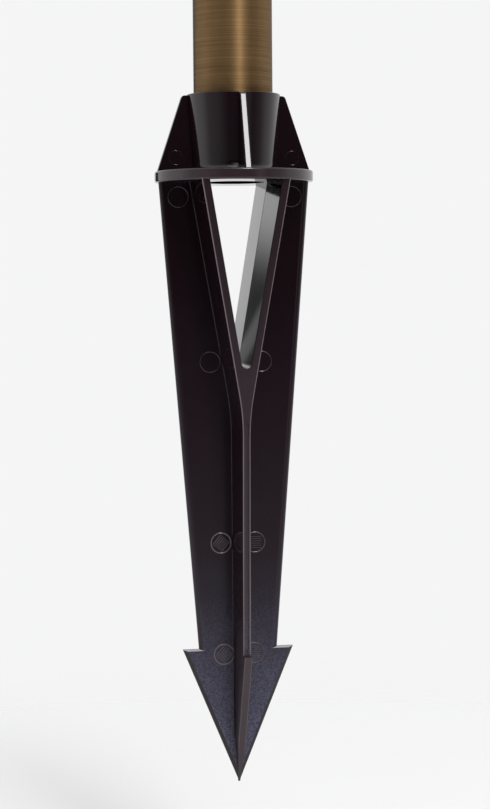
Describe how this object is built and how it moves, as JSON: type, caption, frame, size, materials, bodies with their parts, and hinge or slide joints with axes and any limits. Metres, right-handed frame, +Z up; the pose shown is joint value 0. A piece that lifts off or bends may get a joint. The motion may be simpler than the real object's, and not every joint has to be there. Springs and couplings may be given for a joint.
{
  "type": "tiki torch",
  "caption": "Short garden tiki torch: barbed plastic ground spike, round brass post, flared brass cup with a lift-out oil canister, screw-on wick holder and hinged snuffer.",
  "frame": {"origin": "centre of the spike's flange underside, which is ground level when the spike is pushed in", "axes": "+Z up along the post; the front fin of the spike points to -Y and the side fins to +X and -X"},
  "size_m": [0.1307, 0.112, 1.0777],
  "materials": {
    "spike_plastic": "dark brown moulded plastic, semi-matt",
    "antique_brass": "antique brass, brushed around the post",
    "steel": "zinc plated steel",
    "tinplate": "dull tinplate",
    "rubber": "black rubber",
    "glass_fibre": "braided glass fibre"
  },
  "bodies": {
    "spike": {"ground_spike": "spike_plastic"},
    "post": {"post_tube": "antique_brass", "head_collar": "antique_brass", "collar_screw_1": "steel", "collar_screw_2": "steel", "collar_screw_3": "steel", "torch_cup": "antique_brass", "rim_ring": "antique_brass", "cup_washer": "steel", "cup_bolt": "steel", "cup_nut": "steel"},
    "canister": {"fuel_canister": "tinplate", "canister_lid": "antique_brass", "snuffer_bracket": "antique_brass", "bracket_rivet_1": "steel", "bracket_rivet_2": "steel", "snuffer_pin": "steel"},
    "gasket": {"neck_gasket": "rubber"},
    "burner": {"burner_cap": "antique_brass", "wick_tube": "antique_brass"},
    "wick_body": {"wick": "glass_fibre"},
    "snuffer": {"snuffer_arm": "antique_brass", "snuffer_bell": "antique_brass", "snuffer_knob": "antique_brass", "snuffer_nut": "steel"}
  },
  "joints": [
    {"name": "post_lift", "type": "slide", "parent": "spike", "child": "post", "axis": [0, 0, 1], "range_m": [0, 0.06]},
    {"name": "canister_lift", "type": "slide", "parent": "post", "child": "canister", "axis": [0, 0, 1], "range_m": [0, 0.12]},
    {"name": "cap_rise", "type": "slide", "parent": "canister", "child": "gasket", "axis": [0, 0, 1], "range_m": [0, 0.0096]},
    {"name": "cap_turn", "type": "hinge", "parent": "gasket", "child": "burner", "pos_m": [0, 0, 0.7843], "axis": [0, 0, 1], "range_deg": [0, 1080]},
    {"name": "wick_raise", "type": "slide", "parent": "burner", "child": "wick_body", "axis": [0, 0, 1], "range_m": [0, 0.012]},
    {"name": "snuffer_swing", "type": "hinge", "parent": "canister", "child": "snuffer", "pos_m": [0.032, 0, 0.7879], "axis": [0, 1, 0], "range_deg": [-105, 0]}
  ],
  "couplings": [
    {"joint": "cap_turn", "follows": "cap_rise", "rad_per_m": 1963.4}
  ]
}
